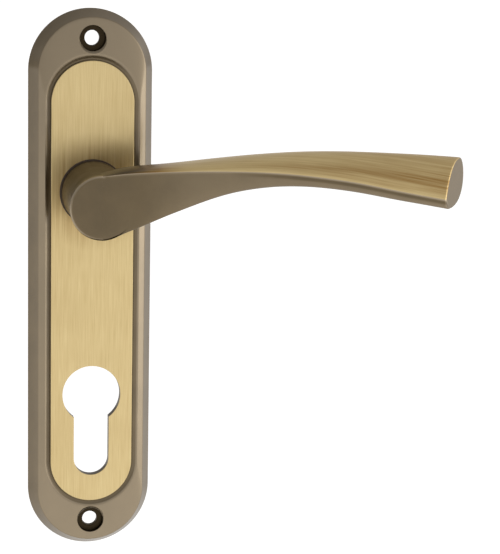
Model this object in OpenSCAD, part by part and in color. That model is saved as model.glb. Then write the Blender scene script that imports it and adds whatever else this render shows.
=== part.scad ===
// Sprung lever handle on a long round-ended backplate, with a euro-profile cut-out below the lever.
// The frame's origin is on the spindle axis, on the plane of the door. +X runs towards the lever's
// tip, +Z is up, and the door is on the +Y side, so the handle stands out towards -Y.

/* [Backplate] */
// Width of the backplate on the door
plate_w = 37.4; // [34:0.2:46]
// Height of the backplate on the door
plate_l = 165; // [155:1:210]
// Height of the spindle above the middle of the backplate
spindle_above_mid = 28; // [15:0.5:34]
// Height of the rim's outer edge above the door
edge_h = 5.6; // [5:0.1:7]
// Width of the bevel between the door and the rim's outer edge
bevel_w = 2.6; // [1.5:0.1:4]
// Height of the rim's inner crest above the door
crest_h = 6.9; // [6:0.1:9]
// Thickness of the backplate's outer wall at the door
wall_t = 2.4; // [1.8:0.1:3.5]

/* [Centre panel] */
// Width of the raised centre panel
panel_w = 24.8; // [23.5:0.2:28]
// Distance from the backplate's end to the panel's end
panel_inset = 15.3; // [14:0.1:20]
// Height of the panel's face above the door
panel_h = 7.2; // [6.6:0.1:9]
// Height of the groove round the panel above the door
groove_h = 6.3; // [5.6:0.1:6.4]
// Width of the cove between the panel and the rim's crest
cove_w = 1.7; // [1:0.1:2.4]
// Chamfer on the panel's edge
panel_chamfer = 0.25; // [0.1:0.05:0.5]

/* [Cut-out and screw holes] */
// Distance from the spindle down to the centre of the cut-out's round part
cutout_drop = 62; // [55:1:92]
// Diameter of the cut-out's round part
cutout_d = 17.6; // [17.2:0.1:18.4]
// Width of the cut-out's straight part
cutout_leg_w = 10.6; // [10.2:0.1:11.2]
// Overall height of the cut-out
cutout_l = 33.9; // [33:0.1:35]
// Distance from the backplate's end to the middle of a screw hole
screw_inset = 8.7; // [8:0.1:10]
// Diameter of the screw holes
screw_d = 4.5; // [4:0.1:5.4]
// Diameter of the counterbore for the screw's head
screw_head_d = 7.6; // [7:0.1:9]
// Diameter of the soft countersink at the counterbore's mouth
countersink_d = 8.4; // [8:0.1:10]
// Height of the counterbore's floor above the door
screw_seat_h = 3.9; // [3:0.1:4.5]
// Height of the screw boss's end above the door
boss_end_h = 1.8; // [0:0.1:2.4]

/* [Lever] */
// Distance from the door to the lever's front face
face_h = 45; // [40:1:60]
// Diameter of the lever's neck
neck_d = 19; // [15.5:0.1:23]
// How far the face's round end lies inside the neck
neck_taper = 0.35; // [0:0.05:1]
// How far the face's round end is set back from the spindle axis
face_shift = 1.7; // [0:0.1:3]
// Distance from the spindle axis to the tip of the front face
lever_reach = 98.5; // [80:0.5:125]
// Angle at which the tip is cut, from square
tip_angle = 38; // [0:1:45]
// Diameter of the journal that turns in the bush
journal_d = 14; // [13:0.1:17]
// Depth of each of the two flats that drive the stop plate
flat_depth = 0.7; // [0.4:0.1:0.8]

/* [Spindle socket] */
// Size across the flats of the square spindle socket
socket_w = 8.2; // [8:0.1:8.4]
// Depth of the spindle socket from the end of the journal
socket_depth = 30; // [20:1:35]
// Diameter of the grub screw
grub_d = 6; // [5:0.5:6]
// Distance from the door to the grub screw's axis
grub_h = 16; // [13:0.5:22]
// Size across the flats of the grub screw's hexagon socket
grub_hex_w = 3; // [2.5:0.5:3]

/* [Bearing and return spring] */
// Wall thickness of the bush
bush_t = 1.5; // [1:0.1:2]
// Thickness of the bush's flange under the neck
bush_flange_t = 0.5; // [0.4:0.1:1]
// How far the bush's flange shows round the neck
bush_flange_lip = 0.4; // [0:0.1:1]
// Thickness of the thrust washer
washer_t = 0.4; // [0.3:0.05:0.5]
// Wire diameter of the return spring
wire_d = 0.9; // [0.7:0.02:1.1]
// Gap between the turns of the return spring
wire_gap = 0.03; // [0.02:0.01:0.1]
// Gap between the journal and the inside of the return spring
coil_gap = 0.76; // [0.5:0.02:1]
// How far the thrust washer reaches past the bush
washer_lip = 0.8; // [0.5:0.1:1.2]
// Thickness of the stop plate
stop_plate_t = 0.7; // [0.5:0.05:0.9]
// Width of the stop plate's lug
lug_w = 5; // [4:0.5:6]
// Diameter of the stop posts and the spring post
post_d = 4; // [3:0.5:4]
// Gap between the thrust washer and the posts
post_gap = 0.2; // [0.1:0.05:0.5]
// Thickness of the circlip
circlip_t = 0.6; // [0.5:0.05:0.8]
// How far the lever turns
lever_travel = 45; // [30:1:55]

/* [Hidden] */
$fn = 96;

bronze = "#746850";
brushed_brass = "#c4a878";
steel = "#b4b6b8";
nylon = "#2b2a28";

run_gap = 0.06;     // radial clearance of a part that turns
seat_gap = 0.05;    // clearance between faces that meet
over = 1;           // how far a cutter runs past a face
plate_mid = -spindle_above_mid;
plate_span = plate_l - plate_w;
edge_w = plate_w - 2 * bevel_w;
panel_l = plate_l - 2 * panel_inset;
panel_span = panel_l - panel_w;
screw_spacing = plate_l - 2 * screw_inset;
cove_floor_w = panel_w + 0.5;
crest_w = panel_w + 2 * cove_w;
neck_start_h = panel_h + bush_flange_t + seat_gap;
face_r = neck_d / 2 - neck_taper;
bush_bore_d = journal_d + 2 * run_gap;
bush_d = bush_bore_d + 2 * bush_t;
washer_d = bush_d + 2 * washer_lip;
flats_w = journal_d - 2 * flat_depth;

// Heights of what is stacked on the journal, from its end up to the cavity's floor.
journal_end_h = 0.1;
journal_lip = 0.15;
circlip_h = journal_end_h + journal_lip;
stop_plate_h = circlip_h + circlip_t + seat_gap;
coil_end_h = stop_plate_h + stop_plate_t + seat_gap;

// Angles round the spindle, from +X towards +Z. The lug turns down from lug_angle by lever_travel.
post_r = washer_d / 2 + post_gap + post_d / 2;
lug_angle = 90 + lever_travel / 2;
stop_turn = asin((lug_w / 2 + post_d / 2 + seat_gap) / post_r);
stop_angles = [lug_angle + stop_turn, lug_angle - lever_travel - stop_turn];
spring_post_angle = 270;

// The spring's legs bear on the spring post and on the tab at the end of the stop plate's lug.
tab_t = 0.8;
tab_r = post_r + 0.9;
leg_start = spring_post_angle + asin((post_d / 2 + wire_d / 2 + seat_gap) / post_r);
leg_end = lug_angle - asin((lug_w / 2 + wire_d / 2 + seat_gap) / (tab_r + tab_t / 2)) + 720;
coil_r = journal_d / 2 + coil_gap + wire_d / 2;
coil_pitch = wire_d + wire_gap;
coil_low = coil_end_h + wire_d / 2 + coil_pitch * (leg_end - leg_start) / 360;
washer_h = coil_low + wire_d / 2 + wire_gap;
cavity_h = washer_h + washer_t;

// Shapes are drawn face up, with z as the height above the door, and stood against it here.
module on_door(h = 0) {
    translate([0, -h, 0]) rotate([90, 0, 0]) children();
}

module stadium(w, span) {
    square([w, span], center = true);
    for (side = [-1, 1]) translate([0, side * span / 2]) circle(d = w);
}

// A round-ended plate whose edge slopes evenly all the way round.
module sloped_stadium(w_low, w_top, span, h) {
    for (side = [-1, 1])
        translate([0, side * span / 2, 0]) cylinder(d1 = w_low, d2 = w_top, h = h);
    rotate([90, 0, 0]) linear_extrude(span, center = true)
        polygon([[-w_low / 2, 0], [w_low / 2, 0], [w_top / 2, h], [-w_top / 2, h]]);
}

// ---- Backplate ----

crest_land = 0.15;
crest_slope = (crest_w - 2 * crest_land - cove_floor_w) / (crest_h - groove_h);
draft_w = edge_w - wall_t * 1.6;   // the cavity narrows towards its floor, so the casting leaves the die

// A steep bevel rises from the door to the rim's outer edge, and the rim from there to its crest.
module plate_block() {
    thin = 0.01;
    hull() {
        linear_extrude(thin) stadium(plate_w, plate_span);
        translate([0, 0, edge_h - thin]) linear_extrude(thin) stadium(edge_w, plate_span);
        translate([0, 0, crest_h - thin]) linear_extrude(thin) stadium(crest_w, panel_span);
    }
}

module cove() {
    translate([0, 0, groove_h]) sloped_stadium(
        cove_floor_w, cove_floor_w + crest_slope * (crest_h + over - groove_h),
        panel_span, crest_h + over - groove_h);
}

module centre_panel() {
    straight_h = panel_h - panel_chamfer;
    translate([0, 0, cavity_h + seat_gap])
        linear_extrude(straight_h - cavity_h - seat_gap) stadium(panel_w, panel_span);
    translate([0, 0, straight_h])
        sloped_stadium(panel_w, panel_w - 2 * panel_chamfer, panel_span, panel_chamfer);
}

module cutout() {
    leg_y = -cutout_drop + cutout_d / 2 - cutout_l + cutout_leg_w / 2;
    translate([0, 0, -over]) linear_extrude(panel_h + 2 * over) {
        translate([0, -cutout_drop]) circle(d = cutout_d);
        translate([0, leg_y]) circle(d = cutout_leg_w);
        translate([-cutout_leg_w / 2, leg_y]) square([cutout_leg_w, -cutout_drop - leg_y]);
    }
}

module at_screws() {
    for (side = [-1, 1]) translate([0, plate_mid + side * screw_spacing / 2, 0]) children();
}

// The rim's height where the middle of a screw hole is.
rim_out = plate_l / 2 - bevel_w;
rim_in = (panel_span + crest_w) / 2;
screw_rim_h = edge_h + (crest_h - edge_h) * (rim_out - screw_spacing / 2) / (rim_out - rim_in);

module screw_hole() {
    sink_h = (countersink_d - screw_head_d) / 2;
    translate([0, 0, -over]) cylinder(d = screw_d, h = screw_seat_h + 2 * over);
    translate([0, 0, screw_seat_h]) cylinder(d = screw_head_d, h = crest_h + over - screw_seat_h);
    translate([0, 0, screw_rim_h - sink_h])
        cylinder(d1 = screw_head_d, d2 = countersink_d + 2 * over, h = sink_h + over);
}

post_h = 0.4;

module posts() {
    for (a = concat(stop_angles, [spring_post_angle]))
        rotate(a) translate([post_r, 0, post_h]) cylinder(d = post_d, h = cavity_h + 0.4 - post_h);
}

module backplate() {
    color(bronze) on_door() difference() {
        union() {
            translate([0, plate_mid, 0]) difference() {
                plate_block();
                cove();
                translate([0, 0, -over]) sloped_stadium(
                    plate_w - 2 * wall_t + over * (plate_w - 2 * wall_t - draft_w) / cavity_h,
                    draft_w, plate_span, cavity_h + over);
            }
            translate([0, plate_mid, 0]) centre_panel();
            at_screws() translate([0, 0, boss_end_h])
                cylinder(d = screw_head_d + 3.4, h = cavity_h + 0.3 - boss_end_h);
            posts();
        }
        translate([0, 0, -over]) cylinder(d = bush_d, h = panel_h + 2 * over);
        cutout();
        at_screws() screw_hole();
    }
}

// ---- Bush, washer, stop plate and circlip, stacked on the lever's journal ----

module neck_bush() {
    color(nylon) on_door() difference() {
        union() {
            translate([0, 0, cavity_h]) cylinder(d = bush_d, h = panel_h - cavity_h);
            translate([0, 0, panel_h])
                cylinder(d = max(neck_d, bush_d) + 2 * bush_flange_lip, h = bush_flange_t);
        }
        cylinder(d = bush_bore_d, h = panel_h + 2 * over);
    }
}

module thrust_washer() {
    color(steel) on_door(washer_h) linear_extrude(washer_t) difference() {
        circle(d = washer_d);
        circle(d = bush_bore_d + 0.1);
    }
}

circlip_groove_d = flats_w - 0.4;
circlip_w = 1.7;

// A washer on the journal's flats. Its lug moves between the stop posts and its bent tab takes the spring.
module stop_plate() {
    disc_d = 2 * post_r - post_d - 0.6;
    tab_depth = wire_d * 1.6;
    color(steel) on_door() {
        translate([0, 0, stop_plate_h]) linear_extrude(stop_plate_t) difference() {
            union() {
                circle(d = disc_d);
                rotate(lug_angle) translate([0, -lug_w / 2]) square([tab_r + tab_t, lug_w]);
            }
            flatted_circle(journal_d + 2 * seat_gap, flats_w + 2 * seat_gap);
        }
        rotate(lug_angle) translate([tab_r, -lug_w / 2, stop_plate_h])
            cube([tab_t, lug_w, stop_plate_t + tab_depth]);
    }
}

module flatted_circle(d, across) {
    intersection() {
        circle(d = d);
        square([across, d + over], center = true);
    }
}

module circlip() {
    ear_r = 1.3;
    ear_angle = 17;
    ear_at = circlip_groove_d / 2 + circlip_w;
    color(steel) on_door(circlip_h) linear_extrude(circlip_t) difference() {
        union() {
            difference() {
                circle(d = circlip_groove_d + 2 * circlip_w);
                polygon([[0, 0], for (a = [-ear_angle, ear_angle])
                    [sin(a), -cos(a)] * 2 * circlip_groove_d]);
            }
            for (side = [-1, 1]) rotate(side * (ear_angle + 5) - 90) translate([ear_at, 0]) circle(r = ear_r);
        }
        circle(d = circlip_groove_d + 0.04);
        for (side = [-1, 1]) rotate(side * (ear_angle + 5) - 90) translate([ear_at, 0]) circle(d = 1);
    }
}

// ---- Return spring ----

leg_r = post_r + 0.55;
coil_steps = 40;
wire_sides = 8;

function coil_point(i) =
    let (a = leg_start + (leg_end - leg_start) * i / coil_steps)
    [coil_r * cos(a), coil_r * sin(a), coil_low - coil_pitch * (a - leg_start) / 360];
function leg_point(a, r, h) = [r * cos(a), r * sin(a), h];
spring_path = concat(
    [leg_point(leg_start, leg_r, coil_low), leg_point(leg_start, coil_r + wire_d, coil_low)],
    [for (i = [0:coil_steps]) coil_point(i)],
    [let (p = coil_point(coil_steps)) leg_point(leg_end, coil_r + wire_d, p[2]),
     let (p = coil_point(coil_steps)) leg_point(leg_end, tab_r + tab_t, p[2])]);

function unit(v) = v / norm(v);

// A ring of points round one point of the path. The path lies nearly flat, so z is always across it.
function wire_ring(path, i) =
    let (n = len(path) - 1,
         along = unit(path[min(i + 1, n)] - path[max(i - 1, 0)]),
         side = unit(cross([0, 0, 1], along)),
         up = cross(along, side))
    [for (k = [0:wire_sides - 1]) let (a = 360 * k / wire_sides)
        path[i] + (side * cos(a) + up * sin(a)) * wire_d / 2];

// Skin over a list of rings that all have the same number of points.
module skin(rings) {
    sides = len(rings[0]);
    last = len(rings) - 1;
    points = [for (ring = rings) for (p = ring) p];
    faces = concat(
        [[for (k = [sides - 1:-1:0]) k]],
        [for (i = [0:last - 1]) for (k = [0:sides - 1])
            [i * sides + k, i * sides + (k + 1) % sides,
             (i + 1) * sides + (k + 1) % sides, (i + 1) * sides + k]],
        [[for (k = [0:sides - 1]) last * sides + k]]);
    polyhedron(points, faces, convexity = 6);
}

module return_spring() {
    color(steel) on_door() skin([for (i = [0:len(spring_path) - 1]) wire_ring(spring_path, i)]);
}

// ---- Lever ----

// The blade at its key stations. Heights are from the spindle axis and depths from the front face.
// The flat front face ends at the crease above and at the bottom below. Above the crease the brushed
// face curves back to the top, and the back bulges out to the depth in the last column.
// [share of the reach, crease height, bottom height, bottom depth, top height, top depth, back depth]
blade_keys = [
    [-face_shift / lever_reach, face_r, -face_r, 1.2, face_r + 0.35, 6.0, 22.0],
    [ 0.06,  9.9,  -6.8, 1.3, 10.9, 6.3, 19.0],
    [ 0.20, 10.4,  -1.3, 1.6, 12.2, 7.0, 14.0],
    [ 0.34, 10.4,   3.4, 2.0, 13.6, 7.5, 12.4],
    [ 0.46, 10.0,   5.4, 2.3, 14.6, 7.8, 11.8],
    [ 0.58,  9.0,   5.6, 2.4, 15.2, 8.0, 11.4],
    [ 0.72,  7.1,   4.1, 2.4, 15.2, 8.1, 11.2],
    [ 0.86,  4.4,   1.4, 2.4, 14.5, 8.1, 11.0],
    [ 1.00,  1.8,  -1.2, 2.4, 13.4, 8.1, 10.8]
];
blade_steps = 30;
arc_steps = 7;
tip_slope = tan(tip_angle);

// Slope of column c at key i, from its neighbours. The bottom leaves the face's round end level.
bottom_column = 2;
function key_slope(i, c) =
    let (a = max(i - 1, 0), b = min(i + 1, len(blade_keys) - 1))
    i == 0 && c == bottom_column ? 0
    : (blade_keys[b][c] - blade_keys[a][c]) / (blade_keys[b][0] - blade_keys[a][0]);
function key_before(s) =
    max([for (i = [0:len(blade_keys) - 2]) if (i == 0 || blade_keys[i][0] <= s) i]);
// Column c of the table at share s of the reach, on a smooth curve through the keys.
function blade_at(s, c) =
    let (i = key_before(s), a = blade_keys[i], b = blade_keys[i + 1],
         w = b[0] - a[0], t = (s - a[0]) / w)
    (2 * t^3 - 3 * t^2 + 1) * a[c] + (t^3 - 2 * t^2 + t) * w * key_slope(i, c)
    + (3 * t^2 - 2 * t^3) * b[c] + (t^3 - t^2) * w * key_slope(i + 1, c);

function curve(a, b, c, d, t) =
    (1 - t)^3 * a + 3 * t * (1 - t)^2 * b + 3 * t^2 * (1 - t) * c + t^3 * d;

// One section as [depth, height] points: brushed face, back, then front face.
function section(s) =
    let (crease = [0, blade_at(s, 1)],
         bottom = [blade_at(s, 3), blade_at(s, 2)],
         top = [blade_at(s, 5), blade_at(s, 4)],
         back = blade_at(s, 6),
         rise = top[1] - crease[1],
         steps = [0:arc_steps - 1])
    concat(
        [for (k = steps) curve(crease, crease + [0.1 * rise, 0.5 * rise],
            top - [0.55 * top[0], 0], top, k / arc_steps)],
        [for (k = steps) curve(top, top + [(back - top[0]) * 4 / 3, 0],
            bottom + [(back - bottom[0]) * 4 / 3, 0], bottom, k / arc_steps)],
        [for (k = steps) curve(bottom, bottom - [0.9 * bottom[0], 0],
            [0, crease[1] - 0.6 * (crease[1] - bottom[1])], crease, k / arc_steps)]);

// Sections lean over towards the tip, so that the last one lies in the slanting cut.
function lean(s) = let (t = min(max((s - 0.72) / 0.28, 0), 1)) tip_slope * t * t * (3 - 2 * t);

function blade_ring(s) =
    [for (p = section(s)) [lever_reach * s + lean(s) * p[0], p[1], face_h - p[0]]];

module blade() {
    first = blade_keys[0][0];
    skin([for (i = [0:blade_steps]) blade_ring(first + (1 - first) * i / blade_steps)]);
}

// The neck is round at the plate and meets the round end of the face in front.
module neck() {
    straight_h = face_h * 0.4;
    edge = 0.6;
    neck_chamfer = 0.3;
    translate([0, 0, neck_start_h])
        cylinder(d1 = neck_d - 2 * neck_chamfer, d2 = neck_d, h = neck_chamfer);
    translate([0, 0, neck_start_h + neck_chamfer])
        cylinder(d = neck_d, h = straight_h - neck_start_h - neck_chamfer);
    hull() {
        translate([0, 0, straight_h - 0.01]) cylinder(d = neck_d, h = 0.01);
        translate([-face_shift, 0, face_h - edge - 0.01]) cylinder(r = face_r, h = 0.01);
        translate([-face_shift, 0, face_h - 0.01]) cylinder(r = face_r - edge, h = 0.01);
    }
}

module journal() {
    round_end_h = stop_plate_h + stop_plate_t + seat_gap;
    translate([0, 0, round_end_h]) cylinder(d = journal_d, h = neck_start_h + 0.1 - round_end_h);
    translate([0, 0, circlip_h + circlip_t]) linear_extrude(round_end_h - circlip_h - circlip_t)
        flatted_circle(journal_d, flats_w);
    translate([0, 0, circlip_h]) cylinder(d = circlip_groove_d, h = circlip_t);
    translate([0, 0, journal_end_h]) linear_extrude(circlip_h - journal_end_h)
        flatted_circle(journal_d, flats_w);
}

module lever() {
    color(bronze) on_door() difference() {
        union() {
            blade();
            neck();
            journal();
        }
        translate([-socket_w / 2, -socket_w / 2, journal_end_h - over])
            cube([socket_w, socket_w, socket_depth + over]);
        translate([0, 0, grub_h]) rotate([90, 0, 0]) cylinder(d = grub_d + 0.1, h = neck_d);
    }
}

// A cup-point grub screw in the underside of the neck. It clamps the spindle.
module grub_screw() {
    recess = 0.3;
    screw_l = neck_d / 2 - recess - socket_w / 2;
    hex_depth = screw_l * 0.55;
    point = 0.6;
    color(steel) translate([0, -grub_h, -neck_d / 2 + recess]) difference() {
        union() {
            cylinder(d = grub_d, h = screw_l - point);
            translate([0, 0, screw_l - point]) cylinder(d1 = grub_d, d2 = grub_d - 2 * point, h = point);
        }
        translate([0, 0, -over]) cylinder(d = grub_hex_w / cos(30), h = hex_depth + over, $fn = 6);
    }
}

backplate();
neck_bush();
thrust_washer();
return_spring();
lever();
stop_plate();
circlip();
grub_screw();
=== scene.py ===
"""Sprung lever handle on a long backplate: the visual model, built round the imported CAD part.

Sizes are in metres in the CAD part's frame: the origin is on the spindle axis at the door, +X runs
towards the lever's tip, +Z is up and the handle stands out towards -Y.
"""

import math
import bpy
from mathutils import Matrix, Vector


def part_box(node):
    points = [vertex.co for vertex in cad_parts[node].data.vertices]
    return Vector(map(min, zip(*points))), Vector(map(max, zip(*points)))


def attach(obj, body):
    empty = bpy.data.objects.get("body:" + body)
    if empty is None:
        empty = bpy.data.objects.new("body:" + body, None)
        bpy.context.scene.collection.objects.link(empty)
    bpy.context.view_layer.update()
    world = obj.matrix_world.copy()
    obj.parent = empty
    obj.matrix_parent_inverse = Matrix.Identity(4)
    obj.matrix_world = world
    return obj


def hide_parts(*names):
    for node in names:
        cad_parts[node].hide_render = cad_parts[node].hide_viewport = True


bl_info = {
    "name": "Lever Handle on Long Backplate",
    "version": (1, 0, 0),
    "blender": (4, 5, 0),
    "location": "View3D > Sidebar > Lever Handle",
    "description": "Builds a two-tone lever handle on a round-ended backplate, with its studio",
    "category": "Object",
}

import bmesh
import bpy
import numpy as np
from bpy.props import FloatProperty, FloatVectorProperty, IntProperty, PointerProperty
from mathutils import Matrix, Vector

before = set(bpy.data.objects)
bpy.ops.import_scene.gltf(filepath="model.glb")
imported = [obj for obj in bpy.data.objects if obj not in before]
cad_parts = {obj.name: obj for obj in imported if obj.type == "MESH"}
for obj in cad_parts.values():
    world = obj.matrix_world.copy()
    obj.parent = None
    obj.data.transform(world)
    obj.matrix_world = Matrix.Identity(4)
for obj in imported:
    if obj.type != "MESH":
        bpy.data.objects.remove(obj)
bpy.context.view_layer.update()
PLATE_LOW, PLATE_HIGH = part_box("backplate")
LEVER_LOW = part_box("lever")[0]
BUSH_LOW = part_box("neck_bush")[0]
MM = 0.001
SEAT_GAP = 0.05 * MM  # between faces that meet
LUG_HALF = 2.5 * MM  # half the width of the stop plate's lug
POST_R = 2 * MM  # radius of the stop posts
TRAVEL = 45  # the lever's turn in degrees


def linear(code):
    """An sRGB hex colour as linear red, green, blue."""
    parts = [int(code[i : i + 2], 16) / 255 for i in (1, 3, 5)]
    return [c / 12.92 if c <= 0.04045 else ((c + 0.055) / 1.055) ** 2.4 for c in parts]


# ---------------------------------------------------------------- sizes and colours


def length(name, description, mm):
    return FloatProperty(name=name, description=description, default=mm * MM, unit="LENGTH", precision=5)


def colour(name, description, code):
    return FloatVectorProperty(
        name=name, description=description, default=linear(code), subtype="COLOR", size=3, min=0, max=1
    )


class PlateSizes(bpy.types.PropertyGroup):
    """Sizes of the backplate"""

    width: length("Width", "Width on the door", (PLATE_HIGH.x - PLATE_LOW.x) / MM)
    height: length("Height", "Height on the door", (PLATE_HIGH.z - PLATE_LOW.z) / MM)
    panel_height: length("Panel Height", "From the door to the panel's face", -PLATE_LOW.y / MM)
    bevel: length("Bevel", "Width of the bevel outside the rim", 2.6)
    edge_height: length("Edge Height", "From the door to the rim's outer edge", 5.6)
    crest_height: length("Crest Height", "From the door to the rim's crest", 6.9)
    groove_height: length("Groove Height", "From the door to the groove round the panel", 6.3)
    cavity_height: length("Cavity Height", "From the door to the cavity's floor", 4.37)
    wall: length("Wall", "Thickness of the outer wall at the door", 2.4)
    panel_width: length("Panel Width", "Width of the raised panel", 24.8)
    panel_inset: length("Panel Inset", "From the plate's end to the panel's end", 15.3)
    cove: length("Cove", "Width of the cove between the panel and the crest", 1.7)
    bush_bore: length("Bush Bore", "Diameter of the bore for the bush", 17.12)
    cutout_drop: length("Cut-out Drop", "From the spindle to the cut-out's round part", 62)
    cutout_round: length("Cut-out Round", "Diameter of the cut-out's round part", 17.6)
    cutout_leg: length("Cut-out Leg", "Width of the cut-out's straight part", 10.6)
    cutout_height: length("Cut-out Height", "Overall height of the cut-out", 33.9)
    screw_inset: length("Screw Inset", "From the plate's end to a screw hole", 8.7)
    screw_hole: length("Screw Hole", "Diameter of a screw hole", 4.5)
    screw_head: length("Counterbore", "Diameter of the counterbore", 7.6)
    screw_sink: length("Countersink", "Diameter at the countersink's mouth", 8.4)
    screw_seat: length("Screw Seat", "From the door to the counterbore's floor", 3.9)


class LeverSizes(bpy.types.PropertyGroup):
    """Sizes of the lever, its neck and its journal"""

    face: length("Face", "From the door to the front face", -LEVER_LOW.y / MM)
    reach: length("Reach", "From the spindle axis to the tip of the front face", 98.5)
    tip_angle: FloatProperty(
        name="Tip Angle",
        description="How far the tip is cut from square",
        default=math.radians(38),
        subtype="ANGLE",
    )
    neck: length("Neck", "Diameter of the neck", 19)
    taper: length("Neck Taper", "How far the face's round end lies inside the neck", 0.35)
    shift: length("Face Shift", "How far the face's round end is set back", 1.7)
    edge: length("Face Edge", "Rounding round the front face", 0.6)
    journal: length("Journal", "Diameter of the journal", 14)
    flat: length("Flat", "Depth of each flat on the journal", 0.7)
    socket: length("Socket", "Size across the square socket", 8.2)
    socket_depth: length("Socket Depth", "Depth of the square socket", 30)
    grub: length("Grub Hole", "Diameter of the grub screw's hole", 6.1)
    grub_height: length("Grub Height", "From the door to the grub screw", 16)
    stations: IntProperty(name="Stations", description="Sections along the blade", default=96, min=12)


class SpringSizes(bpy.types.PropertyGroup):
    """Sizes of the return spring"""

    wire: length("Wire", "Wire diameter", 0.9)
    gap: length("Gap", "Gap between turns", 0.03)
    coil: length("Coil Radius", "Radius of the coil's centre line", 8.21)
    post: length("Post Radius", "From the spindle axis to the posts", 11.56)
    sides: IntProperty(name="Sides", description="Sides round the wire", default=14, min=6)


class Finishes(bpy.types.PropertyGroup):
    """Colours of the finishes"""

    brass: colour("Brushed Brass", "Where the dark tone is brushed away", "#d9c491")
    brass_line: colour("Brass Lines", "In the brush's furrows", "#b3945c")
    # Umber is also laid as the painted shade on the panel round the neck.
    umber_and_shade: colour("Umber", "Brown tone left between the brush lines", "#8a662f")
    bronze: colour("Bronze", "The toned ground", "#66573d")
    # Deep bronze is laid as patina in clouds and as painted shade: in the plate's groove and holes, on the
    # neck and under the crease.
    deep_bronze_and_shade: colour("Deep Bronze", "Tone left in the recesses", "#1d160d")
    # The rubbed colour is laid on the worn rim and as painted highlights along the lever's face edge,
    # crease and neck foot.
    rubbed_and_highlight: colour("Rubbed Bronze", "Where the tone is rubbed thin", "#b5a58c")
    zinc: colour("Zinc Plate", "Plated steel", "#b9bcbf")
    steel: colour("Spring Steel", "Drawn wire", "#8d8f92")
    oxide: colour("Black Oxide", "Blackened screw", "#2a2a2c")
    nylon: colour("Nylon", "Moulded bush", "#40301e")


# ---------------------------------------------------------------- nodes and materials


def add_node(tree, kind, settings=None, inputs=None, output=None):
    """Adds one node with its settings. An input is a value or another node's output. Gives the node,
    or the output that is asked for."""
    node = tree.nodes.new(kind)
    for name, value in (settings or {}).items():
        setattr(node, name, value)
    for name, value in (inputs or {}).items():
        if isinstance(value, bpy.types.NodeSocket):
            tree.links.new(value, node.inputs[name])
        else:
            node.inputs[name].default_value = value
    return node if output is None else node.outputs[output]


def new_material(name):
    material = bpy.data.materials.get(name) or bpy.data.materials.new(name)
    material.use_nodes = True
    material.node_tree.nodes.clear()
    return material, material.node_tree


def surface(tree, settings):
    shader = add_node(tree, "ShaderNodeBsdfPrincipled", inputs=settings, output="BSDF")
    add_node(tree, "ShaderNodeOutputMaterial", inputs={"Surface": shader})


def streaks(tree, width, run, detail=2.0):
    """Noise drawn out along the piece's grain: width across the brush lines and run along them."""
    grain = add_node(tree, "ShaderNodeUVMap", {"uv_map": "grain"}, output="UV")
    scale = {"Vector": grain, "Scale": (1 / run, 1 / width, 1)}
    drawn = add_node(tree, "ShaderNodeMapping", inputs=scale, output="Vector")
    settings = {"Vector": drawn, "Scale": 1.0, "Detail": detail, "Roughness": 0.6}
    return add_node(tree, "ShaderNodeTexNoise", inputs=settings, output="Fac")


def clouds(tree, size, detail=3.0):
    """Soft blotches of about this size."""
    where = add_node(tree, "ShaderNodeTexCoord", output="Object")
    settings = {"Vector": where, "Scale": 1 / size, "Detail": detail, "Roughness": 0.55}
    return add_node(tree, "ShaderNodeTexNoise", inputs=settings, output="Fac")


def between(value, low, high, to_low=0.0, to_high=1.0):
    """A Map Range node's inputs."""
    return {"Value": value, "From Min": low, "From Max": high, "To Min": to_low, "To Max": to_high}


def layered(tree, ground, layers):
    """Lays colours over a ground. Each layer is [value, where it starts, where it is full, how much of
    the colour it then lays, colour]."""
    ground = (*ground, 1.0)
    for value, start, full, share, colour in layers:
        cover = between(value, start, full, 0.0, share)
        cover = add_node(tree, "ShaderNodeMapRange", inputs=cover, output="Result")
        sockets = {0: cover, 6: ground, 7: (*colour, 1.0)}
        ground = add_node(tree, "ShaderNodeMix", {"data_type": "RGBA"}, sockets, 2)
    return ground


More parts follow.
